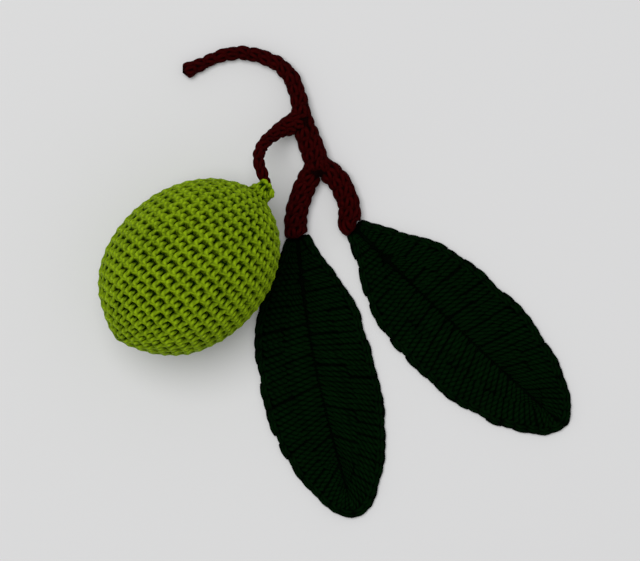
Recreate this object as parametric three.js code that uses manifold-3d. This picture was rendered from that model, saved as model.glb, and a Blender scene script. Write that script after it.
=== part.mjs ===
// A crocheted lime on a crocheted twig with two leaves, lying on its side. Millimetres, +Z up.
// The origin is on the spot where the stuffed lime rests, below its middle. Seen from above, +X runs
// from the lime towards the leaves' tips and +Y towards the free end of the twig.
import * as THREE from "three";
import { mergeVertices } from "three/addons/utils/BufferGeometryUtils.js";
import Module from "manifold-3d";

const wasm = await Module();
wasm.setup();

// Space between pieces that touch each other
const GAP = 0.3;

// The lime's cover: single crochet worked in rounds from the blossom end to the nipple
const LIME_HALF_LENGTH = 31.6;
const LIME_RADIUS = 24.9;
const BLOSSOM_POINT = 0.34; // how far the blossom end narrows to a point
const LIME_HEADING = 47.2; // degrees from +X to the nipple, seen from above
const LIME_DIP = 7; // degrees that the nipple end hangs down
const LIME_LEAN = 0.031; // sideways drift of the rounds for each millimetre towards the nipple
const PRESSED = 0.8; // how far the lime's own weight flattens it
const COVER_WALL = 3;
const NIPPLE_BASE_RADIUS = 4;
const NIPPLE_TIP_RADIUS = 3;
const NIPPLE_ROOT = 30;
const NIPPLE_REACH = 36.3; // from the lime's middle to the nipple's rim
const NIPPLE_RIM = 1.3; // rounding of the rim
const NIPPLE_BEND = 0.021;
const NIPPLE_BEND_START = 26;
const STALK_HOLE_RADIUS = 1.6;
const ROUNDS = 26;
const STITCHES = 34;
const STITCH_LEAN = 0.22; // stitches that each round lags behind the one before
const HOLE_DEPTH = 1.1; // of the gap at the foot of a stitch
const VALLEY_DEPTH = 0.45; // between neighbouring stitches
const FLOOR_FADE = 5; // height over which the stitches go from pressed flat to full relief
const FULL_RELIEF_RADIUS = 10; // closer to the ends the stitches are smaller and lower

// The twig: one branched crocheted cord. Each point is x, y, height above the surface and radius.
const TWIG_STITCH = 3.9;
const TWIG_BUMP = 0.1; // relief of the stitches, as a share of the radius
const TWIG_FLATNESS = 0.86; // height of the cord as a share of its width
const CORD_SIDES = 10;
const CORD_END = 0.8; // how far a rounded end stands out past the last stitch
const CORD_END_ROUND = 0.6; // size of the last stitch at a rounded end
const MAIN_STEM = [
  [-2.2, 62.7, 2.3, 2.3],
  [2.8, 65, 2, 1.95],
  [7.6, 67, 2, 1.95],
  [12.7, 68.4, 2.1, 2.1],
  [18.3, 68.2, 2.3, 2.2],
  [24.3, 66.4, 2.6, 2.3],
  [29.4, 63.1, 3, 2.5],
  [32.7, 57.7, 3.5, 2.7],
  [34.3, 52, 3.9, 2.9],
  [35.2, 47, 4.1, 3.4],
  [36.9, 41.7, 3.9, 3.8],
  [38.9, 36, 3.6, 3.9],
  [40.6, 30.9, 3.4, 3.6],
];
const FRUIT_STALK = [
  [34.4, 46.6, 4.4, 3.6],
  [29.9, 44.7, 7.2, 2.8],
  [26.2, 42, 11, 2.2],
  [23.6, 39.4, 15, 2],
  [21.9, 36.1, 18.4, 1.8],
  [21.7, 32.9, 20.6, 1.7],
];
const STALK_END_RADIUS = 1.25; // where it goes into the nipple
const STALK_END_DEPTH = 5.2; // how far it goes in
const LEFT_STALK = [
  [40, 33, 3.5, 3.4],
  [36.4, 26.8, 3.3, 3.45],
  [34.4, 21.8, 3.2, 3.4],
  [33.2, 16.9, 3.1, 3.5],
];
const RIGHT_STALK = [
  [39.6, 33, 3.5, 3.4],
  [45.4, 29, 3.3, 3.5],
  [48.6, 23.7, 3.2, 3.4],
  [50.2, 18.4, 3.1, 3.5],
];
const STALK_JOIN_RADIUS = 3.6;
const STALK_JOIN_HEIGHT = 3.1;
const STALK_JOIN_RUN = 2.6; // straight run of a leaf stalk before it meets its leaf

// The leaves: two bands of crochet on each side of a sunk midrib, and a chain edge. Half-widths are
// shares of the widest one, at shares of the length from the stalk to the tip.
const LEAF_THICKNESS = 3.5;
const LEAF_RIB = 4.2; // spacing of the ribs along the leaf
const LEAF_HALF_WIDTH = 18.8;
const LEAF_OUTLINE = [
  [0, 0.2],
  [0.05, 0.31],
  [0.12, 0.5],
  [0.2, 0.73],
  [0.32, 0.93],
  [0.5, 1],
  [0.65, 0.98],
  [0.8, 0.8],
  [0.9, 0.57],
  [0.97, 0.32],
  [1, 0.05],
];
const LEAF_SWAY = 0.65; // turns of its middle line from side to side, over its length
const LEFT_LEAF = { base: [33.4, 10.2], tip: [49.8, -80.1], bow: 1.6 };
const RIGHT_LEAF = { base: [51.5, 13.1], tip: [118.9, -52.1], bow: 0.2 };
const EDGE_SCALLOP = 0.35; // how far each rib's end stands out at the edge
// Across the leaf: place as a share of the half-width, height on a rib, height between ribs
const LEAF_SECTION = [
  [0, 0.5, 0.46],
  [0.24, 1, 0.84],
  [0.5, 0.78, 0.55],
  [0.7, 0.94, 0.78],
  [0.9, 0.84, 0.7],
  [1, 0.4, 0.4],
];

const LIME_GREEN = { color: 0x93a81e, roughness: 0.92, metalness: 0 };
const FIBRE_WHITE = { color: 0xe9e7e0, roughness: 1, metalness: 0 };
const TWIG_MAROON = { color: 0x3d0f0e, roughness: 0.9, metalness: 0 };
const LEAF_GREEN = { color: 0x06260d, roughness: 0.9, metalness: 0 };

// A closed body from a first point, a list of rings with as many points each, and a last point.
function closedLoft(first, rings, last) {
  const count = rings[0].length;
  const points = [first, ...rings.flat(), last];
  const faces = [];
  const at = (ring, i) => 1 + ring * count + (i % count);
  for (let i = 0; i < count; i++) {
    faces.push(0, at(0, i + 1), at(0, i));
    for (let ring = 0; ring + 1 < rings.length; ring++) {
      faces.push(at(ring, i), at(ring, i + 1), at(ring + 1, i + 1));
      faces.push(at(ring, i), at(ring + 1, i + 1), at(ring + 1, i));
    }
    faces.push(points.length - 1, at(rings.length - 1, i), at(rings.length - 1, i + 1));
  }
  return new THREE.BufferGeometry().setFromPoints(points).setIndex(faces);
}

function solidOf(geometry) {
  const merged = mergeVertices(geometry, 1e-4);
  return new wasm.Manifold(
    new wasm.Mesh({
      numProp: 3,
      vertProperties: merged.attributes.position.array,
      triVerts: new Uint32Array(merged.index.array),
    }),
  );
}

function geometryOf(solid) {
  const { numProp, vertProperties, triVerts } = solid.getMesh();
  const points = [];
  for (let i = 0; i < vertProperties.length; i += numProp) {
    points.push(new THREE.Vector3().fromArray(vertProperties, i));
  }
  return new THREE.BufferGeometry().setFromPoints(points).setIndex(Array.from(triVerts));
}

function namedMesh(name, geometry, finish) {
  geometry.computeVertexNormals();
  const mesh = new THREE.Mesh(geometry, new THREE.MeshStandardMaterial(finish));
  mesh.name = name;
  return mesh;
}

// The lime's own directions: along its rounds' axis, level across it, and up out of it
const heading = THREE.MathUtils.degToRad(LIME_HEADING);
const dip = THREE.MathUtils.degToRad(LIME_DIP);
const limeAxis = new THREE.Vector3(
  Math.cos(heading) * Math.cos(dip),
  Math.sin(heading) * Math.cos(dip),
  -Math.sin(dip),
);
const limeSide = new THREE.Vector3(-Math.sin(heading), Math.cos(heading), 0);
const limeTop = new THREE.Vector3().crossVectors(limeAxis, limeSide);
const limeHeight = Math.hypot(LIME_HALF_LENGTH * Math.sin(dip), LIME_RADIUS * Math.cos(dip)) - PRESSED;

// The middle of the round at a place along the axis; the nipple bends to one side
function limeCentre(along) {
  const past = Math.max(0, along - NIPPLE_BEND_START);
  return new THREE.Vector3(0, 0, limeHeight)
    .addScaledVector(limeAxis, along)
    .addScaledVector(limeSide, NIPPLE_BEND * past * past - LIME_LEAN * along);
}

function coverRadius(along) {
  const x = along / LIME_HALF_LENGTH;
  const point = x < 0 ? 1 - BLOSSOM_POINT * x ** 8 : 1;
  const ovoid = LIME_RADIUS * Math.sqrt(Math.max(0, 1 - x * x)) * point;
  const share = (along - NIPPLE_ROOT) / (NIPPLE_REACH - NIPPLE_ROOT);
  const cone = THREE.MathUtils.lerp(NIPPLE_BASE_RADIUS, NIPPLE_TIP_RADIUS, Math.max(0, share));
  return along < 0 ? ovoid : (ovoid ** 4 + cone ** 4) ** 0.25;
}

// Half of the cover's outline: place along the axis and radius, from the blossom end to the rim
function coverOutline() {
  const outline = [];
  const roundSteps = 48;
  const lastTurn = Math.acos(-NIPPLE_BEND_START / LIME_HALF_LENGTH);
  for (let i = 0; i <= roundSteps; i++) {
    const along = -LIME_HALF_LENGTH * Math.cos((i / roundSteps) * lastTurn);
    outline.push(new THREE.Vector2(along, i === 0 ? 0 : coverRadius(along)));
  }
  for (let along = NIPPLE_BEND_START + 1; along < NIPPLE_REACH - NIPPLE_RIM; along += 1) {
    outline.push(new THREE.Vector2(along, coverRadius(along)));
  }
  const rimSteps = 4;
  for (let i = 0; i <= rimSteps; i++) {
    const angle = (i / rimSteps) * (Math.PI / 2);
    const along = NIPPLE_REACH - NIPPLE_RIM * (1 - Math.sin(angle));
    outline.push(new THREE.Vector2(along, NIPPLE_TIP_RADIUS - NIPPLE_RIM * (1 - Math.cos(angle))));
  }
  const curve = new THREE.SplineCurve(outline);
  curve.arcLengthDivisions = 600;
  return curve;
}

// How deep the surface lies below the crowns of the stitches, at a half round and a half stitch
function stitchDepth(halfRound, halfStitch) {
  const betweenRounds = halfRound % 2 === 0;
  const betweenStitches = halfStitch % 2 === 0;
  if (betweenRounds && betweenStitches) return HOLE_DEPTH;
  return betweenRounds || betweenStitches ? VALLEY_DEPTH : 0;
}

function limeCover() {
  const outline = coverOutline();
  const steps = 2 * ROUNDS;
  const columns = 2 * STITCHES;
  const rings = [];
  for (let step = 1; step < steps; step++) {
    const place = outline.getPointAt(step / steps);
    const tangent = outline.getTangentAt(step / steps);
    const surface = (angle, depth) => {
      const radius = place.y - depth * tangent.x;
      return limeCentre(place.x + depth * tangent.y)
        .addScaledVector(limeSide, radius * Math.cos(angle))
        .addScaledVector(limeTop, radius * Math.sin(angle));
    };
    const ring = [];
    for (let column = 0; column < columns; column++) {
      const angle = ((column + STITCH_LEAN * step) / columns) * 2 * Math.PI;
      const clearOfFloor = THREE.MathUtils.smoothstep(surface(angle, 0).z, 0, FLOOR_FADE);
      const clearOfPole = Math.min(1, place.y / FULL_RELIEF_RADIUS);
      const point = surface(angle, clearOfFloor * clearOfPole * stitchDepth(step, column));
      point.z = Math.max(0, point.z);
      ring.push(point);
    }
    rings.push(ring);
  }
  const outer = solidOf(closedLoft(limeCentre(-LIME_HALF_LENGTH), rings, limeCentre(NIPPLE_REACH)));
  return geometryOf(outer.subtract(solidOf(limeHollow(COVER_WALL, STALK_HOLE_RADIUS))));
}

// The space inside the cover, some way in from its surface, with a neck through the nipple if asked
function limeHollow(inset, neckRadius) {
  const length = LIME_HALF_LENGTH - inset;
  const radius = LIME_RADIUS - inset;
  const past = NIPPLE_REACH + 2;
  const steps = 14;
  const columns = 24;
  const ringAt = (along, size) =>
    Array.from({ length: columns }, (_, column) => {
      const angle = (column / columns) * 2 * Math.PI;
      return limeCentre(along)
        .addScaledVector(limeSide, size * Math.cos(angle))
        .addScaledVector(limeTop, size * Math.sin(angle));
    });
  const rings = [];
  for (let step = 1; step < steps; step++) {
    const turn = (step / steps) * Math.PI;
    rings.push(ringAt(-length * Math.cos(turn), radius * Math.sin(turn)));
  }
  if (!neckRadius) return closedLoft(limeCentre(-length), rings, limeCentre(length));
  for (let along = length; along < past; along += 1.5) {
    rings.push(ringAt(along, neckRadius));
  }
  return closedLoft(limeCentre(-length), rings, limeCentre(past));
}

// A crocheted cord along points of x, y, z and radius, with a bump for each stitch on both edges.
// Its start is rounded, and its end is cut square or rounded.
function cord(points, squareEnd) {
  const curve = new THREE.CatmullRomCurve3(points.map(([x, y, z]) => new THREE.Vector3(x, y, z)));
  const radii = new THREE.SplineCurve(points.map((p, i) => new THREE.Vector2(i, p[3])));
  const steps = 2 * Math.round(curve.getLength() / TWIG_STITCH);
  const up = new THREE.Vector3(0, 0, 1);
  const rings = [];
  for (let step = 0; step <= steps; step++) {
    const share = step / steps;
    const centre = curve.getPointAt(share);
    const along = curve.getTangentAt(share);
    const side = new THREE.Vector3().crossVectors(up, along).normalize();
    const over = new THREE.Vector3().crossVectors(along, side);
    const radius = radii.getPoint(curve.getUtoTmapping(share)).y;
    const rounded = step === 0 || (step === steps && !squareEnd) ? CORD_END_ROUND : 1;
    const ring = [];
    for (let i = 0; i < CORD_SIDES; i++) {
      const angle = (i / CORD_SIDES) * 2 * Math.PI;
      const bump = TWIG_BUMP * (step % 2 === 0 ? 1 : -1) * Math.cos(angle);
      const size = radius * rounded * (1 + bump);
      ring.push(
        centre
          .clone()
          .addScaledVector(side, size * Math.cos(angle))
          .addScaledVector(over, size * TWIG_FLATNESS * Math.sin(angle)),
      );
    }
    rings.push(ring);
  }
  const beyond = (share, out) => curve.getPointAt(share).addScaledVector(curve.getTangentAt(share), out);
  return solidOf(closedLoft(beyond(0, -CORD_END), rings, beyond(1, squareEnd ? 0 : CORD_END)));
}

// The last points of a leaf stalk, straight into its leaf
function joinTo(leaf) {
  const base = new THREE.Vector2(...leaf.base);
  const along = new THREE.Vector2(...leaf.tip).sub(base).normalize();
  return [STALK_JOIN_RUN, GAP].map((back) => {
    const point = base.clone().addScaledVector(along, -back);
    return [point.x, point.y, STALK_JOIN_HEIGHT, STALK_JOIN_RADIUS];
  });
}

// The last points of the fruit stalk, inside the nipple's hole
function joinToNipple() {
  return [1.2, -1.5, -STALK_END_DEPTH].map((out) => {
    const point = limeCentre(NIPPLE_REACH + out);
    return [point.x, point.y, point.z, STALK_END_RADIUS];
  });
}

function twig() {
  const main = cord(MAIN_STEM, false);
  const left = cord([...LEFT_STALK, ...joinTo(LEFT_LEAF)], true);
  const right = cord([...RIGHT_STALK, ...joinTo(RIGHT_LEAF)], true);
  const fruit = cord([...FRUIT_STALK, ...joinToNipple()], false);
  return geometryOf(main.add(left).add(right).add(fruit));
}

// The half-width of a leaf at a share of its length
function leafHalfWidth(share) {
  const after = LEAF_OUTLINE.findIndex(([at]) => at >= share);
  if (after <= 0) return LEAF_HALF_WIDTH * LEAF_OUTLINE[0][1];
  const [x0, y0] = LEAF_OUTLINE[after - 1];
  const [x1, y1] = LEAF_OUTLINE[after];
  const slopeAt = (i) => {
    const [xa, ya] = LEAF_OUTLINE[Math.max(0, i - 1)];
    const [xb, yb] = LEAF_OUTLINE[Math.min(LEAF_OUTLINE.length - 1, i + 1)];
    return ((yb - ya) / (xb - xa)) * (x1 - x0);
  };
  const t = (share - x0) / (x1 - x0);
  const bend = t * (1 - t);
  const straight = y0 * (1 - t) + y1 * t;
  const fromStart = slopeAt(after - 1) - (y1 - y0);
  const fromEnd = slopeAt(after) - (y1 - y0);
  return LEAF_HALF_WIDTH * (straight + bend * (fromStart * (1 - t) - fromEnd * t));
}

// One leaf: flat below, its ribs and bands raised on top
function leaf({ base, tip, bow }) {
  const start = new THREE.Vector2(...base);
  const run = new THREE.Vector2(...tip).sub(start);
  const across = new THREE.Vector2(run.y, -run.x).normalize();
  const rows = 2 * Math.round(run.length() / LEAF_RIB);
  const otherHalf = LEAF_SECTION.slice(1).map(([x, onRib, between]) => [-x, onRib, between]);
  const section = [...otherHalf.reverse(), ...LEAF_SECTION];
  const columns = section.length;
  const points = [];
  for (let row = 0; row <= rows; row++) {
    const share = row / rows;
    const ribHere = row % 2 === 1;
    const half = leafHalfWidth(share) + (ribHere ? EDGE_SCALLOP : 0);
    const sway = bow * Math.sin(2 * Math.PI * LEAF_SWAY * share);
    const middle = start.clone().addScaledVector(run, share).addScaledVector(across, sway);
    for (const [x, onRib, between] of section) {
      const place = middle.clone().addScaledVector(across, x * half);
      points.push(new THREE.Vector3(place.x, place.y, LEAF_THICKNESS * (ribHere ? onRib : between)));
    }
    for (const side of [-half, half]) {
      const place = middle.clone().addScaledVector(across, side);
      points.push(new THREE.Vector3(place.x, place.y, 0));
    }
  }
  // Each row holds its top points from one edge to the other, and then its two bottom points
  const perRow = columns + 2;
  const faces = [];
  const quad = (a, b, c, d) => faces.push(a, b, c, a, c, d);
  for (let row = 0; row < rows; row++) {
    const here = row * perRow;
    const next = here + perRow;
    for (let i = 0; i + 1 < columns; i++) {
      quad(here + i, here + i + 1, next + i + 1, next + i);
    }
    quad(here + columns, here, next, next + columns);
    quad(here + columns - 1, here + columns + 1, next + columns + 1, next + columns - 1);
    quad(here + columns + 1, here + columns, next + columns, next + columns + 1);
  }
  const stalkEnd = [columns, columns + 1, ...Array.from({ length: columns }, (_, i) => columns - 1 - i)];
  const tipEnd = stalkEnd.map((i) => i + rows * perRow).reverse();
  for (const rim of [stalkEnd, tipEnd]) {
    for (let i = 1; i + 1 < rim.length; i++) faces.push(rim[0], rim[i], rim[i + 1]);
  }
  return new THREE.BufferGeometry().setFromPoints(points).setIndex(faces);
}

const lime = new THREE.Group();
lime.add(
  namedMesh("lime_cover", limeCover(), LIME_GREEN),
  namedMesh("lime_stuffing", limeHollow(COVER_WALL + GAP, 0), FIBRE_WHITE),
  namedMesh("twig", twig(), TWIG_MAROON),
  namedMesh("leaf_left", leaf(LEFT_LEAF), LEAF_GREEN),
  namedMesh("leaf_right", leaf(RIGHT_LEAF), LEAF_GREEN),
);

export default lime;
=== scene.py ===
import random
from bisect import bisect_right
from math import acos, cos, exp, hypot, pi, radians, sin, sqrt, tau

import bmesh
import bpy
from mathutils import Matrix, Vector, noise


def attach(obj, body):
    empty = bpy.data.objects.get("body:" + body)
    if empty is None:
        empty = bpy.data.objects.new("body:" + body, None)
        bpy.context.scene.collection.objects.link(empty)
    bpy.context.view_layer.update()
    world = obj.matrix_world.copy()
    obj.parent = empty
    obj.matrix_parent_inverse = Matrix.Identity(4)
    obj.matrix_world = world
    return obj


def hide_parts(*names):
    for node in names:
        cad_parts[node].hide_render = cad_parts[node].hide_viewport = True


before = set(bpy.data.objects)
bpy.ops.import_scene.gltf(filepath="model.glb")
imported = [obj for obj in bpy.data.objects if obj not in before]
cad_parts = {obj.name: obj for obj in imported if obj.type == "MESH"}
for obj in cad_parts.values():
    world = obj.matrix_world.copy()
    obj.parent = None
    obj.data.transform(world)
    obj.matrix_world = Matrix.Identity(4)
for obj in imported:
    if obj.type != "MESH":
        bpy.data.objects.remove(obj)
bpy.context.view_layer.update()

# Camera: straight above the middle of the part and looking down, so that the twig's free end is at the
# top left of the picture and the leaves' tips are at the bottom and on the right.
CAMERA_HEIGHT = 0.8
CAMERA_PLACE = (0.04075, -0.00402, CAMERA_HEIGHT)
SEEN_WIDTH = 0.2048  # of the floor, across the picture
SENSOR_WIDTH = 36

camera_data = bpy.data.cameras.new("camera")
camera_data.sensor_width = SENSOR_WIDTH
camera_data.lens = SENSOR_WIDTH * CAMERA_HEIGHT / SEEN_WIDTH
camera_data.clip_start = 0.01
camera = bpy.data.objects.new("camera", camera_data)
camera.location = CAMERA_PLACE
bpy.context.scene.collection.objects.link(camera)
bpy.context.scene.camera = camera
bpy.context.scene.view_settings.view_transform = "Standard"

# Floor and light: a plain matt board, lit by a large soft lamp high up on the left and by a faint even
# light from all round.
FLOOR_SIZE = 6
FLOOR_COLOUR = (0.8, 0.8, 0.805, 1)
FLOOR_ROUGHNESS = 0.9
LAMP_PLACE = (-0.5, 0.42, 2.85)
LAMP_SIZE = 2.2
LAMP_POWER = 52.5
SKY_COLOUR = (1, 1, 1, 1)
SKY_STRENGTH = 0.35

floor_mesh = bmesh.new()
bmesh.ops.create_grid(floor_mesh, x_segments=1, y_segments=1, size=FLOOR_SIZE / 2)
floor_data = bpy.data.meshes.new("floor")
floor_mesh.to_mesh(floor_data)
floor_mesh.free()
floor = bpy.data.objects.new("floor", floor_data)
bpy.context.scene.collection.objects.link(floor)
board = bpy.data.materials.new("matt_board")
board.use_nodes = True
board.node_tree.nodes["Principled BSDF"].inputs["Base Color"].default_value = FLOOR_COLOUR
board.node_tree.nodes["Principled BSDF"].inputs["Roughness"].default_value = FLOOR_ROUGHNESS
board.node_tree.nodes["Principled BSDF"].inputs["Specular IOR Level"].default_value = 0
floor_data.materials.append(board)

lamp_data = bpy.data.lights.new("lamp", "AREA")
lamp_data.shape = "DISK"
lamp_data.size = LAMP_SIZE
lamp_data.energy = LAMP_POWER
lamp = bpy.data.objects.new("lamp", lamp_data)
lamp.location = LAMP_PLACE
lamp.rotation_euler = (-Vector(LAMP_PLACE)).to_track_quat("-Z", "Y").to_euler()
bpy.context.scene.collection.objects.link(lamp)

sky = bpy.data.worlds.new("studio")
sky.use_nodes = True
sky.node_tree.nodes["Background"].inputs["Color"].default_value = SKY_COLOUR
sky.node_tree.nodes["Background"].inputs["Strength"].default_value = SKY_STRENGTH
bpy.context.scene.world = sky

# Lime cover: single crochet in lime green yarn, worked in rounds from the blossom end to a small nipple.
# Each stitch is a tall leg, a short leg and the loop at their feet that joins it to its neighbours, with a
# gap between the legs where the yarn below is painted dark as shade. The weight of the filled lime presses
# it flat below.
LIME_HALF_LENGTH = 0.0316
LIME_RADIUS = 0.0249
BLOSSOM_POINT = 0.34  # how far the blossom end narrows to a point
BLOSSOM_POWER = 8  # the higher it is, the nearer to the end that starts
LIME_HEADING = radians(47.2)
LIME_DIP = radians(7)
LIME_LEAN = 0.031  # sideways drift of the rounds, as a share of the way towards the nipple
PRESSED = 0.0008  # how far the lime sinks under its own weight
PRESSED_DEPTH = 0.0012  # height over which the lowest stitches are squeezed
NIPPLE_BASE_RADIUS = 0.0047
NIPPLE_TIP_RADIUS = 0.0033
NIPPLE_ROOT = 0.03
NIPPLE_REACH = 0.0361
NIPPLE_RIM = 0.0026  # rounding of its end
NIPPLE_FILLET = 4  # the higher it is, the sharper the turn from the lime to the nipple
NIPPLE_BEND = 14
NIPPLE_BEND_START = 0.026
STALK_HOLE_RADIUS = 0.0005
STITCH_WIDTH = 0.0041
ROUND_HEIGHT = 0.0037
ROUND_LEAN = 0.21  # stitches that each round lags behind the one before
FEWEST_STITCHES = 6
STITCHES_ADDED = 4  # at once, where the rounds widen
YARN_RADIUS = 0.0009
CROWN = 0.0012  # of the stitches above the line that their feet start from
LINER_DEPTH = 0.0026  # of the yarn that shows in the gaps
LINER_SHARE = 0.4  # the most of a round's radius that this depth takes
LINER_SHADE = -0.9  # painted shade of the yarn seen through the gaps, nearly as dark as the deepest hollow
RELIEF_MIDDLE = 0.0004  # height of yarn that gets neither painted shade nor painted highlight
RELIEF = 0.0008  # height from there to a crest, where the painted highlight is fullest
LIME_SEED = 7
# dark and light ends of the yarn's colour: its own uneven tone, and painted shade low down and painted
# highlight on crests
LIME_DEEP = (0.002, 0.018, 0.0)
LIME_BRIGHT = (0.385, 0.59, 0.007)
CLOSING_RING = 0.0016  # from the last round to the middle of the nipple's tip
CLOSING_LOOPS = 5
KNOT_PLACE = 0.0036  # of the fastened off yarn end, from the nipple's end
KNOT_ANGLE = radians(172)
# Strands of yarn in one stitch: each point is across, along and out of the rounds
LIME_STITCH = [
    [(-0.14, -0.16, -0.3), (-0.22, -0.04, -0.04), (-0.33, 0.05, 0.02), (-0.42, 0.15, 0.04),
     (-0.46, 0.3, 0.02), (-0.47, 0.5, -0.02), (-0.46, 0.72, -0.03), (-0.45, 0.92, -0.06),
     (-0.44, 1.08, -0.2)],
    [(0.08, -0.16, -0.3), (0.07, -0.03, -0.03), (0.04, 0.06, 0.03), (0.02, 0.17, 0.05),
     (0.03, 0.27, 0.0), (0.04, 0.35, -0.09), (0.04, 0.4, -0.22), (0.04, 0.42, -0.45)],
    [(-0.72, -0.1, -0.15), (-0.5, -0.17, -0.07), (-0.28, -0.06, -0.02), (0.0, 0.04, 0.0),
     (0.26, -0.04, -0.03), (0.46, -0.16, -0.08), (0.6, -0.14, -0.2)],
]
CLOSING_LOOP = [
    [(-0.62, -0.1, -0.1), (-0.3, 0.05, 0.08), (0.0, 0.12, 0.14), (0.3, 0.05, 0.08), (0.62, -0.1, -0.1)],
]
KNOT = [
    [(-0.24, -0.3, -0.05), (-0.3, -0.02, 0.12), (-0.16, 0.2, 0.2),
     (0.08, 0.22, 0.22), (0.26, 0.02, 0.14), (0.22, -0.28, -0.05)],
    [(-0.3, 0.18, -0.1), (-0.14, 0.04, 0.24), (0.06, -0.06, 0.28), (0.26, -0.14, 0.0)],
]

lime_level = Vector((cos(LIME_HEADING), sin(LIME_HEADING), 0))
lime_axis = lime_level * cos(LIME_DIP) - Vector((0, 0, sin(LIME_DIP)))
lime_side = Vector((-sin(LIME_HEADING), cos(LIME_HEADING), 0))
lime_top = lime_axis.cross(lime_side)
lime_height = hypot(LIME_HALF_LENGTH * sin(LIME_DIP), LIME_RADIUS * cos(LIME_DIP)) - PRESSED


def lime_centre(along):
    """The middle of the round at a place along the lime; the nipple bends to one side."""
    past = max(0, along - NIPPLE_BEND_START)
    aside = NIPPLE_BEND * past * past - LIME_LEAN * along
    return Vector((0, 0, lime_height)) + along * lime_axis + aside * lime_side


def cover_radius(along):
    """The radius of the round there: an egg shape that runs out into the nipple's cone."""
    share = along / LIME_HALF_LENGTH
    point = 1 - BLOSSOM_POINT * share**BLOSSOM_POWER if share < 0 else 1
    ovoid = LIME_RADIUS * sqrt(max(0, 1 - share * share)) * point
    up_the_nipple = max(0, (along - NIPPLE_ROOT) / (NIPPLE_REACH - NIPPLE_ROOT))
    cone = NIPPLE_BASE_RADIUS + (NIPPLE_TIP_RADIUS - NIPPLE_BASE_RADIUS) * up_the_nipple
    if along < 0:
        return ovoid
    return (ovoid**NIPPLE_FILLET + cone**NIPPLE_FILLET) ** (1 / NIPPLE_FILLET)


class Outline:
    """A line through points, whose last number may be a radius, read by the length run along it."""

    def __init__(self, points):
        self.points = [Vector(point) for point in points]
        self.runs = [0]
        for here, after in zip(self.points, self.points[1:]):
            self.runs.append(self.runs[-1] + (after - here).length)
        self.length = self.runs[-1]

    def at(self, run):
        run = min(max(run, 0), self.length)
        piece = min(bisect_right(self.runs, run) - 1, len(self.points) - 2)
        share = (run - self.runs[piece]) / (self.runs[piece + 1] - self.runs[piece])
        return self.points[piece].lerp(self.points[piece + 1], share)

    def direction(self, run, reach=0.0008):
        return (self.at(run + reach) - self.at(run - reach)).normalized()


def lime_outline():
    """Half of the cover's outline: places along its axis and radii, from the blossom end to the rim."""
    body_steps = 80
    nipple_steps = 30
    rim_steps = 6
    rim_start = NIPPLE_REACH - NIPPLE_RIM
    last_turn = acos(-NIPPLE_BEND_START / LIME_HALF_LENGTH)
    points = []
    for step in range(body_steps):
        along = -LIME_HALF_LENGTH * cos(step / body_steps * last_turn)
        points.append((along, cover_radius(along) if step else 0))
    for step in range(nipple_steps):
        along = NIPPLE_BEND_START + step / nipple_steps * (rim_start - NIPPLE_BEND_START)
        points.append((along, cover_radius(along)))
    for step in range(rim_steps + 1):
        turn = step / rim_steps * pi / 2
        inward = NIPPLE_RIM * (1 - cos(turn))
        points.append((rim_start + NIPPLE_RIM * sin(turn), NIPPLE_TIP_RADIUS - inward))
    points.append((NIPPLE_REACH, STALK_HOLE_RADIUS))
    return Outline(points)


lime_meridian = lime_outline()


def lime_point(run, angle, out):
    """A point of the cover, from how far it is from the blossom end, round the axis and out of the skin."""
    along, radius = lime_meridian.at(run)
    forward, widening = lime_meridian.direction(run)
    across = max(0, radius + out * forward)
    place = lime_centre(along - out * widening)
    place += across * cos(angle) * lime_side + across * sin(angle) * lime_top
    if place.z < PRESSED_DEPTH:
        place.z = PRESSED_DEPTH * exp(place.z / PRESSED_DEPTH - 1)
    return place


def stitch_mesh(strands, width, height, yarn_radius):
    """One stitch: strands of yarn along lists of points. Their x and z are in widths, their y in heights."""
    curve = bpy.data.curves.new("stitch", "CURVE")
    curve.dimensions = "3D"
    curve.bevel_depth = yarn_radius
    curve.bevel_resolution = 1
    curve.use_fill_caps = True
    for strand in strands:
        spline = curve.splines.new("POLY")
        spline.points.add(len(strand) - 1)
        for point, (x, y, z) in zip(spline.points, strand):
            point.co = (x * width, y * height, z * width, 1)
    yarn = bpy.data.objects.new("stitch", curve)
    bpy.context.scene.collection.objects.link(yarn)
    mesh = bpy.data.meshes.new_from_object(yarn)
    bpy.data.objects.remove(yarn)
    bpy.data.curves.remove(curve)
    round_yarn = bmesh.new()
    round_yarn.from_mesh(mesh)
    bmesh.ops.remove_doubles(round_yarn, verts=round_yarn.verts, dist=yarn_radius / 1000)
    round_yarn.to_mesh(mesh)
    round_yarn.free()
    return mesh


def work_stitches(work, stitch, places, surface):
    """Adds a copy of the stitch for each place, bent to the surface there. Each point keeps how high it
    stands, from -1 low down to 1 on a crest; from this the yarn's colour gets painted shade low down and
    painted highlight on the crests."""
    first = len(work.verts)
    relief = work.verts.layers.float.get("relief") or work.verts.layers.float.new("relief")
    for _ in places:
        work.from_mesh(stitch)
    size = len(stitch.vertices)
    for number, vert in enumerate(list(work.verts)[first:]):
        vert[relief] = min(1, max(-1, (vert.co.z - RELIEF_MIDDLE) / RELIEF))
        vert.co = surface(places[number // size], *vert.co)


def finished_piece(name, work, material, node):
    """Makes the named piece from the worked mesh; it rides on the object and replaces a plain solid."""
    bmesh.ops.recalc_face_normals(work, faces=work.faces)
    for face in work.faces:
        face.smooth = True
    mesh = bpy.data.meshes.new(name)
    work.to_mesh(mesh)
    work.free()
    mesh.materials.append(material)
    piece = bpy.data.objects.new(name, mesh)
    bpy.context.scene.collection.objects.link(piece)
    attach(piece, "root")
    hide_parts(node)
    return piece


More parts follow.
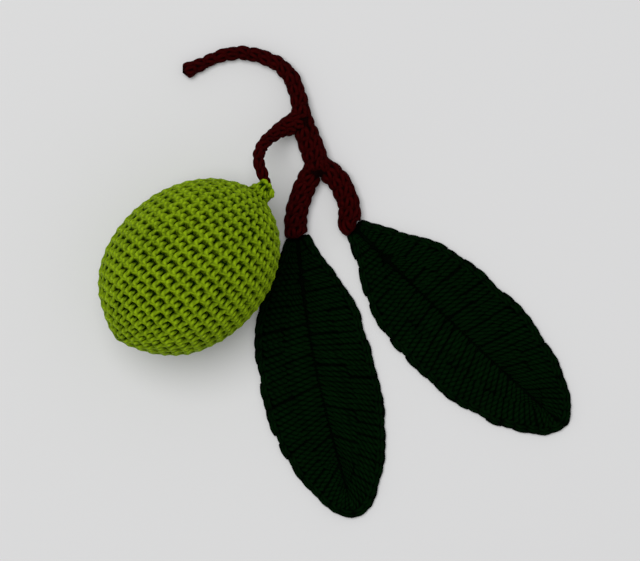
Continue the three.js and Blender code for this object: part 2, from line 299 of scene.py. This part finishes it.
class Shade:
    """A number or colour that varies over a surface. Adding, subtracting and multiplying add Math nodes."""

    def __init__(self, tree, socket=None):
        self.tree = tree
        self.socket = socket

    def node(self, kind, settings, inputs, output=0):
        """Any node, from its kind, its settings and the values or links of its sockets."""
        made = self.tree.nodes.new("ShaderNode" + kind)
        for name, value in settings.items():
            setattr(made, name, value)
        for name, value in inputs.items():
            if isinstance(value, Shade):
                self.tree.links.new(value.socket, made.inputs[name])
            else:
                made.inputs[name].default_value = value
        return Shade(self.tree, made.outputs[output])

    def math(self, operation, *values):
        return self.node("Math", {"operation": operation}, dict(enumerate(values)))

    def __add__(self, other):
        return self.math("ADD", self, other)

    def __sub__(self, other):
        return self.math("SUBTRACT", self, other)

    def __mul__(self, other):
        return self.math("MULTIPLY", self, other)

    def __rsub__(self, other):
        return self.math("SUBTRACT", other, self)

    __radd__ = __add__
    __rmul__ = __mul__

    def sine(self):
        return self.math("SINE", self)


def yarn_finish(name, deep, bright, hollow_shade, shine, fuzz, roughness):
    """Plied yarn: three plies twist round each strand, with fine fibres and uneven dye. Its colour has
    painted shade in the grooves between plies and where the yarn lies low between stitches, and painted
    highlight on the crests.
    """
    plies = 3
    twists = 2.5
    tuft_size = 0.00072
    dye_size = 0.006
    ply_depth = 0.00016
    # ply_light: share of the colour that is painted shade in the grooves between plies and painted highlight
    # on their crests
    ply_light = 0.2
    fibre_light = 0.4
    dye_light = 0.4
    dimming = 0.2
    fibre_height = 0.6
    uneven_roughness = 0.2
    material = bpy.data.materials.new(name)
    material.use_nodes = True
    tree = material.node_tree
    shader = tree.nodes["Principled BSDF"]
    start = Shade(tree)
    strand = start.node("UVMap", {"uv_map": "UVMap"}, {})
    along = start.node("SeparateXYZ", {}, {0: strand}, "X")
    around = start.node("SeparateXYZ", {}, {0: strand}, "Y")
    place = start.node("TexCoord", {}, {}, "Object")
    ply = ((around * plies + along * twists) * tau).sine() * 0.5 + 0.5
    fibres = start.node("TexNoise", {}, {"Vector": place, "Scale": 1 / tuft_size, "Detail": 3.0})
    dye = start.node("TexNoise", {}, {"Vector": place, "Scale": 1 / dye_size, "Detail": 4.0})
    # height of each point, turned into painted shade low down and painted highlight on the crests
    relief = start.node("Attribute", {"attribute_name": "relief"}, {}, "Fac")
    # fibres and dye give the yarn's own uneven tone; ply and the hollow shade add painted shade in grooves
    # and low places and painted highlight on crests
    light = ply * ply_light + fibres * fibre_light + dye * dye_light + relief * hollow_shade - dimming
    colour = start.node("Mix", {"data_type": "RGBA"}, {0: light, 6: (*deep, 1), 7: (*bright, 1)}, 2)
    height = ply + fibres * fibre_height
    bump = start.node("Bump", {}, {"Strength": 0.7, "Distance": ply_depth, "Height": height})
    rough = fibres * uneven_roughness + (roughness - uneven_roughness / 2)
    tree.links.new(colour.socket, shader.inputs["Base Color"])
    tree.links.new(rough.socket, shader.inputs["Roughness"])
    tree.links.new(bump.socket, shader.inputs["Normal"])
    shader.inputs["Specular IOR Level"].default_value = shine
    shader.inputs["Sheen Weight"].default_value = fuzz
    shader.inputs["Sheen Roughness"].default_value = 0.4
    shader.inputs["Sheen Tint"].default_value = (*bright, 1)
    return material


def work_rounds(work, stitch, gauge, length, radius, point, counting, seed, hidden=None):
    """Works rounds of the stitch over a tube, given by its length, its radius and its points. The gauge is
    the stitch's width, height, lean and crown. The counting is the fewest stitches that a round has and how
    many are added at once. Stitches that are squeezed in their round stand less high."""
    width, height, lean, crown = gauge
    fewest, step = counting
    shift = 0.05
    swelling = 0.1
    draw = random.Random(seed)
    rounds = round(length / height)
    places = []
    for number in range(rounds):
        around = tau * radius((number + 0.5) * length / rounds)
        count = max(fewest, step * round(around / width / step))
        for stitch_number in range(count):
            aside = draw.uniform(-shift, shift)
            ahead = draw.uniform(-shift, shift)
            fullness = draw.uniform(1 - swelling, 1 + swelling)
            places.append((number, count, stitch_number + lean * number, (aside, ahead, fullness)))

    def on_the_tube(place, x, y, z):
        number, count, stitch_number, (aside, ahead, fullness) = place
        up = y / height
        run = (number + up + ahead) * length / rounds
        small = min(1, tau * radius(run) / count / width) ** 0.5
        angle = (stitch_number + x / width + lean * up + aside) / count * tau
        return point(run, angle, (z * fullness - crown) * small)

    if hidden:
        places = [place for place in places if not hidden(on_the_tube(place, 0, height / 2, crown))]
    work_stitches(work, stitch, places, on_the_tube)


def join_into(work, added):
    """Moves a mesh into the worked one."""
    mesh = bpy.data.meshes.new("added")
    added.to_mesh(mesh)
    added.free()
    work.from_mesh(mesh)
    bpy.data.meshes.remove(mesh)


def add_liner(work, point, length, around_steps, along_steps):
    """The closed skin of yarn under the stitches, painted as dark as the deepest shade between them."""
    grid = bmesh.new()
    bmesh.ops.create_grid(grid, x_segments=along_steps, y_segments=around_steps, size=0.5)
    relief = grid.verts.layers.float.new("relief")
    for vert in grid.verts:
        vert[relief] = LINER_SHADE
        vert.co = point((vert.co.x + 0.5) * length, (vert.co.y + 0.5) * tau)
    bmesh.ops.remove_doubles(grid, verts=grid.verts, dist=1e-6)
    bmesh.ops.recalc_face_normals(grid, faces=grid.faces)
    join_into(work, grid)


lime_work = bmesh.new()
work_rounds(
    lime_work,
    stitch_mesh(LIME_STITCH, STITCH_WIDTH, ROUND_HEIGHT, YARN_RADIUS),
    (STITCH_WIDTH, ROUND_HEIGHT, ROUND_LEAN, CROWN),
    lime_meridian.length - CLOSING_RING,
    lambda run: lime_meridian.at(run).y,
    lime_point,
    (FEWEST_STITCHES, STITCHES_ADDED),
    LIME_SEED,
)
work_stitches(
    lime_work,
    stitch_mesh(CLOSING_LOOP, STITCH_WIDTH, ROUND_HEIGHT, YARN_RADIUS),
    range(CLOSING_LOOPS),
    lambda loop, x, y, z: lime_point(
        lime_meridian.length - CLOSING_RING + y,
        (loop + x / STITCH_WIDTH) / CLOSING_LOOPS * tau,
        z - CROWN / 2,
    ),
)
work_stitches(
    lime_work,
    stitch_mesh(KNOT, STITCH_WIDTH, STITCH_WIDTH, YARN_RADIUS),
    [KNOT_ANGLE],
    lambda angle, x, y, z: lime_point(
        lime_meridian.length - KNOT_PLACE + y,
        angle + x / NIPPLE_TIP_RADIUS,
        z - CROWN / 2,
    ),
)
add_liner(
    lime_work,
    lambda run, angle: lime_point(run, angle, -min(LINER_DEPTH, lime_meridian.at(run).y * LINER_SHARE)),
    lime_meridian.length,
    around_steps=96,
    along_steps=72,
)
lime_yarn = yarn_finish(
    "lime_yarn", LIME_DEEP, LIME_BRIGHT, hollow_shade=0.42, shine=0.04, fuzz=0.25, roughness=0.6
)
lime = finished_piece("lime_cover_crocheted", lime_work, lime_yarn, "lime_cover")

# Stuffing: polyester fibre fill pushed into the cover, which gives the lime its round shape. It is one soft
# lump with a crumpled surface, just inside the crochet.
FILL_DEPTH = 0.0042
FILL_CRUMPLE = 0.0005
FILL_LUMPS = 4.5
FILL_LUMP_SIZES = (0.8, 2, 4)  # how fast smaller lumps flatten, how much smaller each is, and how many
FILL_FIBRES = 900
FILL_FIBRE_DEPTH = 0.0003
FILL_COLOUR = (0.82, 0.82, 0.79)
FILL_SHADE = (0.6, 0.6, 0.57)

fill_work = bmesh.new()
bmesh.ops.create_icosphere(fill_work, subdivisions=5, radius=1)
for vert in fill_work.verts:
    x, y, z = vert.co
    lump = FILL_DEPTH + FILL_CRUMPLE * (1 + noise.fractal(vert.co * FILL_LUMPS, *FILL_LUMP_SIZES))
    place = lime_centre((LIME_HALF_LENGTH - lump) * x)
    vert.co = place + (LIME_RADIUS - lump) * (y * lime_side + z * lime_top)
fibre = bpy.data.materials.new("fibre_fill")
fibre.use_nodes = True
fibre_start = Shade(fibre.node_tree)
fibre_place = fibre_start.node("TexCoord", {}, {}, "Object")
fibre_noise = {"Vector": fibre_place, "Scale": FILL_FIBRES, "Detail": 6.0}
fibre_light = fibre_start.node("TexNoise", {}, fibre_noise)
fibre_mix = {0: fibre_light, 6: (*FILL_SHADE, 1), 7: (*FILL_COLOUR, 1)}
fibre_colour = fibre_start.node("Mix", {"data_type": "RGBA"}, fibre_mix, 2)
fibre_relief = {"Strength": 0.6, "Distance": FILL_FIBRE_DEPTH, "Height": fibre_light}
fibre_bump = fibre_start.node("Bump", {}, fibre_relief)
fibre_shader = fibre.node_tree.nodes["Principled BSDF"]
fibre_shader.inputs["Roughness"].default_value = 0.95
fibre.node_tree.links.new(fibre_colour.socket, fibre_shader.inputs["Base Color"])
fibre.node_tree.links.new(fibre_bump.socket, fibre_shader.inputs["Normal"])
fill = finished_piece("lime_stuffing_fibre", fill_work, fibre, "lime_stuffing")

# Twig: cords of single crochet in dark maroon brown yarn, sewn to each other where they branch. The thin
# fruit stalk goes into the lime's nipple, and the two thick leaf stalks end where the leaves are sewn on.
TWIG_STITCH_WIDTH = 0.0036
TWIG_ROUND_HEIGHT = 0.0037
TWIG_LEAN = 0.3
TWIG_FEWEST_STITCHES = 3
TWIG_STITCHES_ADDED = 1
TWIG_YARN_RADIUS = 0.00085
TWIG_CROWN = 0.0008
TWIG_LINER_DEPTH = 0.0006
TWIG_FLATNESS = 0.86  # height of the cord as a share of its width
LAID_HEIGHT = 0.00005  # of the lowest yarn of the twig and the leaves
TWIG_SEED = 11
# dark and light ends of the yarn's colour: its own uneven tone, and painted shade low down and painted
# highlight on crests
TWIG_DEEP = (0.004, 0.0002, 0.0002)
TWIG_BRIGHT = (0.052, 0.0012, 0.0012)
CORD_END = 0.0008  # length of the rounding at each end of a cord
HIDDEN_DEPTH = 0.8  # share of a cord's radius within which the stitches of another are left out
JOIN_RADIUS = 0.0036
JOIN_HEIGHT = 0.0031
JOIN_RUN = 0.002  # straight run of a leaf stalk before it meets its leaf
JOIN_OVERLAP = 0.0003  # how far it runs into the leaf
TWIG_STITCH = [
    [(-0.04, -0.05, -0.3), (-0.12, 0.15, 0.0), (-0.22, 0.38, 0.07), (-0.3, 0.62, 0.08), (-0.33, 0.86, 0.0),
     (-0.28, 1.08, -0.25)],
    [(0.04, -0.05, -0.3), (0.12, 0.15, 0.0), (0.22, 0.38, 0.08), (0.3, 0.62, 0.08), (0.33, 0.86, 0.0),
     (0.28, 1.05, -0.25)],
    [(-0.6, 1.0, -0.1), (-0.3, 0.98, 0.0), (0.0, 1.0, 0.03), (0.3, 0.98, -0.05)],
]
# Each point is x, y, height and radius
MAIN_STEM = [
    (-0.0026, 0.0625, 0.0024, 0.0025), (0.0028, 0.065, 0.002, 0.0019), (0.0076, 0.067, 0.002, 0.0019),
    (0.0127, 0.0684, 0.0021, 0.00205), (0.0183, 0.0682, 0.0023, 0.00215), (0.0243, 0.0664, 0.0026, 0.0022),
    (0.0294, 0.0631, 0.003, 0.0024), (0.0327, 0.0577, 0.0035, 0.0026), (0.0343, 0.052, 0.0039, 0.0028),
    (0.0352, 0.047, 0.0041, 0.0033), (0.0369, 0.0417, 0.0039, 0.0037), (0.0389, 0.036, 0.0036, 0.0039),
    (0.0406, 0.0309, 0.0034, 0.0036),
]
FRUIT_STALK = [
    (0.0344, 0.0466, 0.0044, 0.0038), (0.0299, 0.0446, 0.0072, 0.0029), (0.0262, 0.042, 0.011, 0.0021),
    (0.0236, 0.0394, 0.015, 0.0019), (0.0219, 0.0361, 0.0184, 0.0018), (0.0217, 0.0329, 0.0204, 0.0017),
    (0.0225, 0.0302, 0.0208, 0.0017), (0.0232, 0.0281, 0.0204, 0.0016), (0.0237, 0.0262, 0.02, 0.0015),
    (0.0232, 0.0243, 0.0199, 0.0014),
]
LEFT_STALK = [
    (0.04, 0.033, 0.0035, 0.0034), (0.0364, 0.0268, 0.0033, 0.00345), (0.0344, 0.0218, 0.0032, 0.0034),
    (0.0332, 0.0169, 0.0031, 0.0035),
]
RIGHT_STALK = [
    (0.0396, 0.033, 0.0035, 0.0034), (0.0454, 0.029, 0.0033, 0.0035), (0.0486, 0.0237, 0.0032, 0.0034),
    (0.0502, 0.0184, 0.0031, 0.0035),
]
# Each leaf's end at its stalk, its tip, and how far its middle line sways
LEFT_LEAF = (0.0334, 0.0102), (0.0499, -0.0804), 0.0017
RIGHT_LEAF = (0.0515, 0.0131), (0.1187, -0.0516), 0.0003


def smooth_line(points):
    """A smooth line through points of x, y, z and radius."""
    pieces = 8
    knots = [Vector(point) for point in points]
    knots = [2 * knots[0] - knots[1], *knots, 2 * knots[-1] - knots[-2]]
    line = []
    for before, here, after, beyond in zip(knots, knots[1:], knots[2:], knots[3:]):
        for step in range(pieces):
            share = step / pieces
            start = here + (after - before) / 2 * share
            end = after - (beyond - here) / 2 * (1 - share)
            line.append(start.lerp(end, share * share * (3 - 2 * share)))
    return Outline([*line, knots[-2]])


def join_to(leaf):
    """The last points of a leaf stalk, straight into its leaf."""
    base, tip, _ = leaf
    along = (Vector(tip) - Vector(base)).normalized()
    ends = [Vector(base) - along * back for back in (JOIN_RUN, -JOIN_OVERLAP)]
    return [(end.x, end.y, JOIN_HEIGHT, JOIN_RADIUS) for end in ends]


cords = [
    smooth_line(MAIN_STEM),
    smooth_line([*LEFT_STALK, *join_to(LEFT_LEAF)]),
    smooth_line([*RIGHT_STALK, *join_to(RIGHT_LEAF)]),
    smooth_line(FRUIT_STALK),
]


def cord_point(line, run, angle, out):
    """A point of a cord's skin, or some way out of it. The cord is slightly flat and rounded at its ends,
    and nothing of it goes below the ground."""
    x, y, z, radius = line.at(run)
    along = line.direction(run).xyz.normalized()
    side = Vector((0, 0, 1)).cross(along).normalized()
    over = along.cross(side)
    past = max(0, CORD_END - run, run - line.length + CORD_END) / CORD_END
    closing = sqrt(max(0, 1 - min(1, past) ** 2))
    across = max(0, radius + out) * closing
    beyond = min(0, run) + max(0, run - line.length)
    centre = Vector((x, y, z)) + beyond * along
    place = centre + across * cos(angle) * side + across * TWIG_FLATNESS * sin(angle) * over
    place.z = max(LAID_HEIGHT, place.z)
    return place


def inside_another_cord(own, place):
    """Whether a place of one cord's skin lies well inside another of the twig's cords."""
    for line in cords:
        if line is own:
            continue
        for point in line.points:
            if (place - point.xyz).length < point.w * HIDDEN_DEPTH:
                return True
    return False


def rounded(strand):
    """The strand with one more point between every two, put there by the four-point rule."""
    points = [Vector(point) for point in (strand[0], *strand, strand[-1])]
    smooth = []
    for before, here, after, beyond in zip(points, points[1:], points[2:], points[3:]):
        smooth += [here, (9 * (here + after) - before - beyond) / 16]
    return [*smooth, points[-1]]


twig_work = bmesh.new()
twig_strands = [rounded(strand) for strand in TWIG_STITCH]
twig_stitch = stitch_mesh(twig_strands, TWIG_STITCH_WIDTH, TWIG_ROUND_HEIGHT, TWIG_YARN_RADIUS)
for number, cord in enumerate(cords):
    work_rounds(
        twig_work,
        twig_stitch,
        (TWIG_STITCH_WIDTH, TWIG_ROUND_HEIGHT, TWIG_LEAN, TWIG_CROWN),
        cord.length,
        lambda run, cord=cord: cord.at(run).w,
        lambda run, angle, out, cord=cord: cord_point(cord, run, angle, out),
        (TWIG_FEWEST_STITCHES, TWIG_STITCHES_ADDED),
        TWIG_SEED + number,
        lambda place, cord=cord: inside_another_cord(cord, place),
    )
    add_liner(
        twig_work,
        lambda run, angle, cord=cord: cord_point(cord, run, angle, -TWIG_LINER_DEPTH),
        cord.length,
        around_steps=16,
        along_steps=40,
    )
twig_yarn = yarn_finish(
    "twig_yarn", TWIG_DEEP, TWIG_BRIGHT, hollow_shade=0.35, shine=0.02, fuzz=0.2, roughness=0.8
)
finished_piece("twig_crocheted", twig_work, twig_yarn, "twig")

# Leaves: each is crocheted in dark green yarn outwards from a chain down its middle: an inner row of tall
# stitches, an outer row round those, and a chain edge. Both faces show the stitches; the midrib is sunk.
LEAF_THICKNESS = 0.0035
LEAF_HALF_WIDTH = 0.0188
LEAF_OUTLINE = [
    (0, 0.2), (0.05, 0.31), (0.12, 0.5), (0.2, 0.73), (0.32, 0.93), (0.5, 1), (0.65, 0.98), (0.8, 0.8),
    (0.9, 0.57), (0.97, 0.32), (1, 0.05),
]
LEAF_NARROWEST = 0.001
LEAF_SWAY = 0.65  # turns of a leaf's middle line from side to side, over its length
LEAF_TIP_LEAN = 0.0007  # of each tip, to the side that the right leaf is on
LEAF_SCALLOP = 0.0041  # spacing of the rays of stitches along the edge
EDGE_CHAIN = 0.0026  # width of the chain round the edge
OUTER_ROW = 0.0093  # from the edge to where the outer row's stitches start
MIDRIB = 0.0007  # half of its width
RAY_START = 0.002  # from the stalk to the first ray, along the midrib
RAY_END = 0.008  # from the last ray to the tip
RAY_NUDGE = 0.12  # random shift of a stitch along the edge, in rays
ROW_NUDGE = 0.0005  # and across the leaf
FULLNESS = (0.85, 1.1)  # least and greatest height of a stitch
SHORTEST_ROW = LEAF_SCALLOP / 3
LEAF_YARN_RADIUS = 0.0007
LEAF_CREST = 0.0005  # of the stitches above the line that they are worked on
LEAF_UNDERSIDE = 0.35  # how far the lower face rises where the upper one sinks, as a share of that
PLATE_MARGIN = 0.0009
PLATE_THICKNESS = 0.0009
LEAF_SEED = 23
# dark and light ends of the yarn's colour: its own uneven tone, and painted shade low down and painted
# highlight on crests
LEAF_DEEP = (0.0002, 0.001, 0.0002)
LEAF_BRIGHT = (0.0013, 0.0135, 0.0018)
# Places across the leaf as shares of the half-width, and the height there as a share of the thickness
LEAF_SECTION = [(0, 0.48), (0.24, 0.94), (0.5, 0.7), (0.7, 0.9), (0.9, 0.8), (1, 0.45)]
POSTS = (-0.25, 0.24)  # places of the two posts of a tall stitch, as shares of its width
POST_TWISTS = 2
POST_SWING = 0.13
LEAF_UNEVEN = 0.0004
LEAF_LUMPS = 330
TOP_LOOP = [(-0.55, 0.96, -0.35), (-0.25, 0.98, -0.16), (0.1, 0.98, -0.16), (0.55, 0.96, -0.35)]
EDGE_STITCH = [
    [(-0.6, 0.5, -0.25), (-0.3, 0.58, 0.0), (0.0, 0.64, 0.08), (0.3, 0.6, 0.0), (0.6, 0.5, -0.25)],
    [(-0.55, 0.02, -0.3), (-0.25, 0.12, 0.02), (0.0, 0.2, 0.08), (0.3, 0.15, 0.02), (0.55, 0.02, -0.3)],
]


def twisted_post(centre):
    """The post of a tall stitch: two strands twisted round each other, their ends sunk."""
    steps = 6 * POST_TWISTS
    foot_spread = 0.6
    spreading = 2.5
    overrun = 0.03
    sunk = {0: 0.3, steps - 1: 0.08, steps: 0.35}
    strands = []
    for start in (0, pi):
        strand = []
        for step in range(steps + 1):
            share = step / steps
            turn = start + share * POST_TWISTS * tau
            aside = centre * min(1, foot_spread + spreading * share) + POST_SWING * cos(turn)
            ahead = (1 + 2 * overrun) * share - overrun
            strand.append((aside, ahead, POST_SWING * sin(turn) - sunk.get(step, 0)))
        strands.append(strand)
    return strands


def between(line, place):
    """Reads a list of (place, value) pairs, with straight runs between them."""
    for (start, low), (end, high) in zip(line, line[1:]):
        if place <= end:
            return low + (high - low) * (place - start) / (end - start)
    return line[-1][1]


def leaf_half_width(share):
    """A smooth line through the outline's points."""
    share = min(1, max(0, share))
    knots = [Vector((*point, 0)) for point in LEAF_OUTLINE]
    after = next(i for i, knot in enumerate(knots) if knot.x >= share) or 1
    here, there = knots[after - 1], knots[after]

    def slope(number):
        low = knots[max(0, number - 1)]
        high = knots[min(len(knots) - 1, number + 1)]
        return (high.y - low.y) / (high.x - low.x) * (there.x - here.x)

    t = (share - here.x) / (there.x - here.x)
    rise = there.y - here.y
    curve = t * (1 - t) * ((slope(after - 1) - rise) * (1 - t) - (slope(after) - rise) * t)
    return LEAF_HALF_WIDTH * (here.y + rise * t + curve)


class Leaf:
    """One leaf lying flat, with a ray of stitches every scallop of each edge."""

    def __init__(self, base, tip, bow):
        self.base = Vector(base)
        self.run = Vector(tip) - self.base
        self.across = Vector((self.run.y, -self.run.x)).normalized()
        self.bow = bow
        steps = 100
        edge = [self.flat(step / steps, leaf_half_width(step / steps)) for step in range(steps + 1)]
        self.edge = Outline([(*point, 0) for point in edge])
        self.rays = round(self.edge.length / LEAF_SCALLOP)

    def flat(self, share, aside):
        """Place and distance aside, on a plain leaf whose middle is straight."""
        return Vector((share * self.run.length, aside))

    def laid(self, flat, height):
        """A place of the plain leaf, put where the real leaf lies."""
        share = flat.x / self.run.length
        near_the_tip = share**8
        sway = self.bow * sin(tau * LEAF_SWAY * share) - LEAF_TIP_LEAN * near_the_tip
        place = self.base + self.run * share + self.across * (sway + flat.y)
        return Vector((*place, max(LAID_HEIGHT, height)))

    def ray(self, number, side):
        """A ray's ends at the midrib and at the edge. The rays past the tip are those of the other side."""
        if number > self.rays:
            number, side = 2 * self.rays - number, -side
        share = number / self.rays
        inner = Vector((RAY_START + share * (self.run.length - RAY_START - RAY_END), 0))
        outer = self.edge.at(share * self.edge.length).xy
        return inner, Vector((outer.x, outer.y * side))

    def faces_at(self, flat):
        """The heights of the upper and the lower face."""
        half = max(LEAF_NARROWEST, leaf_half_width(flat.x / self.run.length))
        crown = between(LEAF_SECTION, min(1, abs(flat.y) / half))
        return LEAF_THICKNESS * crown, LEAF_THICKNESS * LEAF_UNDERSIDE * (1 - crown)

    def point(self, place, x, y, z):
        """A stitch's point: the ray, the side and face it is on, and its row's start, end and height."""
        number, side, face, start, end, tall, fullness = place
        inner, outer = self.ray(number + 0.5 + x / LEAF_SCALLOP * side * face, side)
        length = (outer - inner).length
        row_start = min(length - MIDRIB, start)
        from_edge = row_start + (end - row_start) * y / tall
        flat = outer.lerp(inner, from_edge / length)
        upper, lower = self.faces_at(flat)
        middle = (upper + lower) / 2
        uneven = LEAF_UNEVEN * noise.noise(Vector((flat.x, flat.y * side, face)) * LEAF_LUMPS)
        depth = LEAF_YARN_RADIUS + LEAF_CREST + LEAF_UNEVEN / 2 + uneven - z * fullness
        height = max(middle, upper - depth) if face > 0 else min(middle, lower + depth)
        return self.laid(flat, height)


def add_plate(work, leaf):
    """The thin plate of yarn between the stitches of a leaf's two faces, painted dark as shade."""
    plate = bmesh.new()
    bmesh.ops.create_grid(plate, x_segments=40, y_segments=16, size=0.5)
    relief = plate.verts.layers.float.new("relief")
    for vert in plate.verts:
        share = vert.co.x + 0.5
        half = max(0, leaf_half_width(share) - PLATE_MARGIN)
        flat = Vector((share * (leaf.run.length - PLATE_MARGIN), vert.co.y * 2 * half))
        upper, lower = leaf.faces_at(flat)
        vert[relief] = LINER_SHADE
        vert.co = leaf.laid(flat, (upper + lower) / 2)
    bmesh.ops.recalc_face_normals(plate, faces=plate.faces)
    bmesh.ops.solidify(plate, geom=plate.faces, thickness=PLATE_THICKNESS)
    join_into(work, plate)


def crochet_leaf(name, leaf, node, yarn, seed):
    work = bmesh.new()
    draw = random.Random(seed)
    tall = OUTER_ROW - EDGE_CHAIN
    at_the_midrib = 1  # further from the edge than any midrib, and so cut back to it
    tall_stitch = [strand for centre in POSTS for strand in twisted_post(centre)] + [TOP_LOOP]
    rows = [
        (tall_stitch, at_the_midrib, OUTER_ROW, tall),
        (tall_stitch, OUTER_ROW, EDGE_CHAIN, tall),
        (EDGE_STITCH, EDGE_CHAIN, 0, EDGE_CHAIN),
    ]
    for strands, start, end, height in rows:
        stitch = stitch_mesh(strands, LEAF_SCALLOP, height, LEAF_YARN_RADIUS)
        places = []
        for number in range(leaf.rays):
            inner, outer = leaf.ray(number + 0.5, 1)
            if (outer - inner).length - MIDRIB - end < SHORTEST_ROW:
                continue
            for side in (-1, 1):
                for face in (-1, 1):
                    ray = number + draw.uniform(-RAY_NUDGE, RAY_NUDGE)
                    shift = draw.uniform(-ROW_NUDGE, ROW_NUDGE)
                    fullness = draw.uniform(*FULLNESS)
                    places.append((ray, side, face, start + shift, end + shift, height, fullness))
        work_stitches(work, stitch, places, leaf.point)
    add_plate(work, leaf)
    finished_piece(name, work, yarn, node)


leaf_yarn = yarn_finish(
    "leaf_yarn", LEAF_DEEP, LEAF_BRIGHT, hollow_shade=0.3, shine=0.01, fuzz=0.4, roughness=0.8
)
crochet_leaf("leaf_left_crocheted", Leaf(*LEFT_LEAF), "leaf_left", leaf_yarn, LEAF_SEED)
crochet_leaf("leaf_right_crocheted", Leaf(*RIGHT_LEAF), "leaf_right", leaf_yarn, LEAF_SEED + 1)
